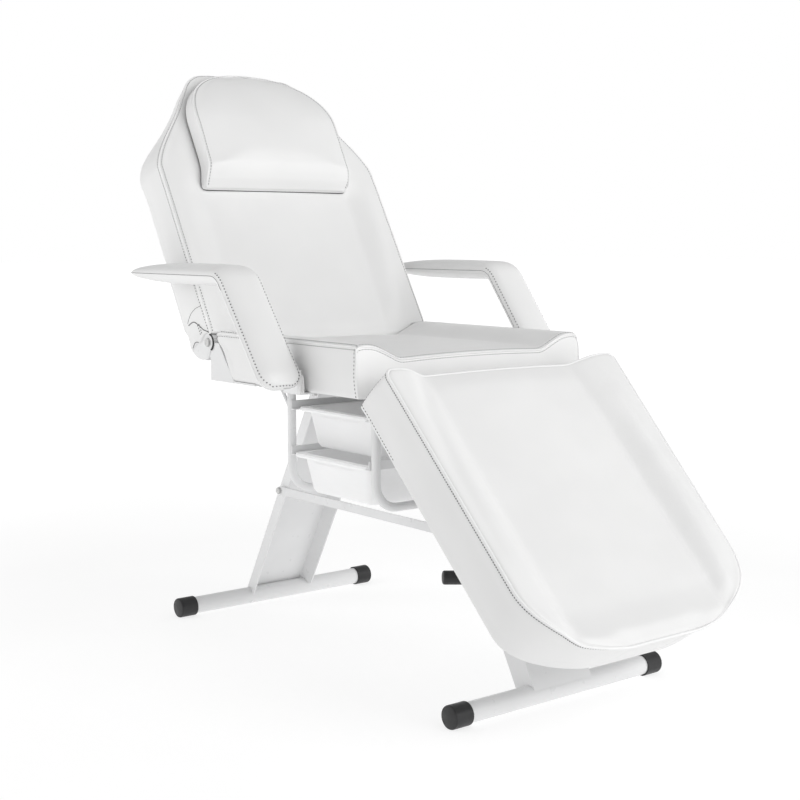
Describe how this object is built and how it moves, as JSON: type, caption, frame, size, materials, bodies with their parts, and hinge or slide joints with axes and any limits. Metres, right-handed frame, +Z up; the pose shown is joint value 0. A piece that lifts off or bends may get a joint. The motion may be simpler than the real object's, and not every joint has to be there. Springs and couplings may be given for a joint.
{
  "type": "facial bed",
  "caption": "Padded treatment bed on a leaning-leg steel base, with hinged backrest and leg rest, bent armrests, head pillow and sliding trays under the seat.",
  "frame": {"origin": "middle of the bed's footprint box on the floor, in the pose of the picture", "axes": "+X to the sitter's left, +Y towards the head end, +Z up"},
  "size_m": [0.8, 1.4192, 1.2352],
  "materials": {
    "upholstery": "white coated fabric, soft sheen",
    "white_paint": "white powder coat",
    "black_plastic": "black moulded, satin",
    "zinc": "zinc plated",
    "tray_plastic": "white moulded, semi gloss",
    "plywood": "raw plywood"
  },
  "bodies": {
    "base": {"armrest_left": "upholstery", "armrest_plate_left": "white_paint", "armrest_plate_right": "white_paint", "armrest_right": "upholstery", "backrest_bolt_left": "zinc", "backrest_bolt_right": "zinc", "backrest_hinge_left": "white_paint", "backrest_hinge_right": "white_paint", "front_foot_cap_left": "black_plastic", "front_foot_cap_right": "black_plastic", "front_foot_tube": "white_paint", "front_hoop": "white_paint", "front_leg": "white_paint", "legrest_bolt_left": "zinc", "legrest_bolt_right": "zinc", "legrest_hinge_left": "white_paint", "legrest_hinge_right": "white_paint", "rear_foot_cap_left": "black_plastic", "rear_foot_cap_right": "black_plastic", "rear_foot_tube": "white_paint", "rear_hoop": "white_paint", "rear_leg": "white_paint", "release_lever_post": "zinc", "seat_board": "plywood", "seat_cross_front": "white_paint", "seat_cross_rear": "white_paint", "seat_cushion": "upholstery", "seat_rail_left": "white_paint", "seat_rail_right": "white_paint", "tie_bar_left": "white_paint", "tie_bar_right": "white_paint", "tie_bolt_front_left": "zinc", "tie_bolt_front_right": "zinc", "tie_bolt_rear_left": "zinc", "tie_bolt_rear_right": "zinc", "tray_runner_front_lower": "white_paint", "tray_runner_front_upper": "white_paint", "tray_runner_rear_lower": "white_paint", "tray_runner_rear_upper": "white_paint"},
    "backrest": {"backrest_cushion": "upholstery", "backrest_board": "plywood", "head_pillow": "upholstery", "backrest_arm_left": "white_paint", "backrest_arm_right": "white_paint"},
    "legrest": {"legrest_cushion": "upholstery", "legrest_board": "plywood", "legrest_arm_left": "white_paint", "legrest_arm_right": "white_paint"},
    "lever": {"release_lever": "white_paint", "release_lever_grip": "black_plastic"},
    "pull_rod": {"release_pull_rod": "white_paint"},
    "upper_tray": {"upper_tray": "tray_plastic"},
    "lower_tray": {"lower_tray": "tray_plastic"}
  },
  "joints": [
    {"name": "backrest_hinge", "type": "hinge", "parent": "base", "child": "backrest", "pos_m": [0, 0.31707, 0.638], "axis": [1, 0, 0], "range_deg": [-60, 15]},
    {"name": "legrest_hinge", "type": "hinge", "parent": "base", "child": "legrest", "pos_m": [0, -0.20193, 0.549], "axis": [-1, 0, 0], "range_deg": [-8, 46.5]},
    {"name": "upper_tray_slide", "type": "slide", "parent": "base", "child": "upper_tray", "axis": [-1, 0, 0], "range_m": [-0.18, 0.18]},
    {"name": "lower_tray_slide", "type": "slide", "parent": "base", "child": "lower_tray", "axis": [-1, 0, 0], "range_m": [-0.18, 0.18]},
    {"name": "release_lever_hinge", "type": "hinge", "parent": "base", "child": "lever", "pos_m": [-0.03, -0.34995, 0.22458], "axis": [0, 0.878, -0.4787], "range_deg": [0, 15], "stiffness_Nm_per_rad": 3, "springref_deg": -6.88},
    {"name": "pull_rod_slide", "type": "slide", "parent": "base", "child": "pull_rod", "axis": [0, -0.4787, -0.878], "range_m": [0, 0.00655]}
  ],
  "couplings": [
    {"joint": "pull_rod_slide", "follows": "release_lever_hinge", "m_per_rad": 0.025}
  ]
}
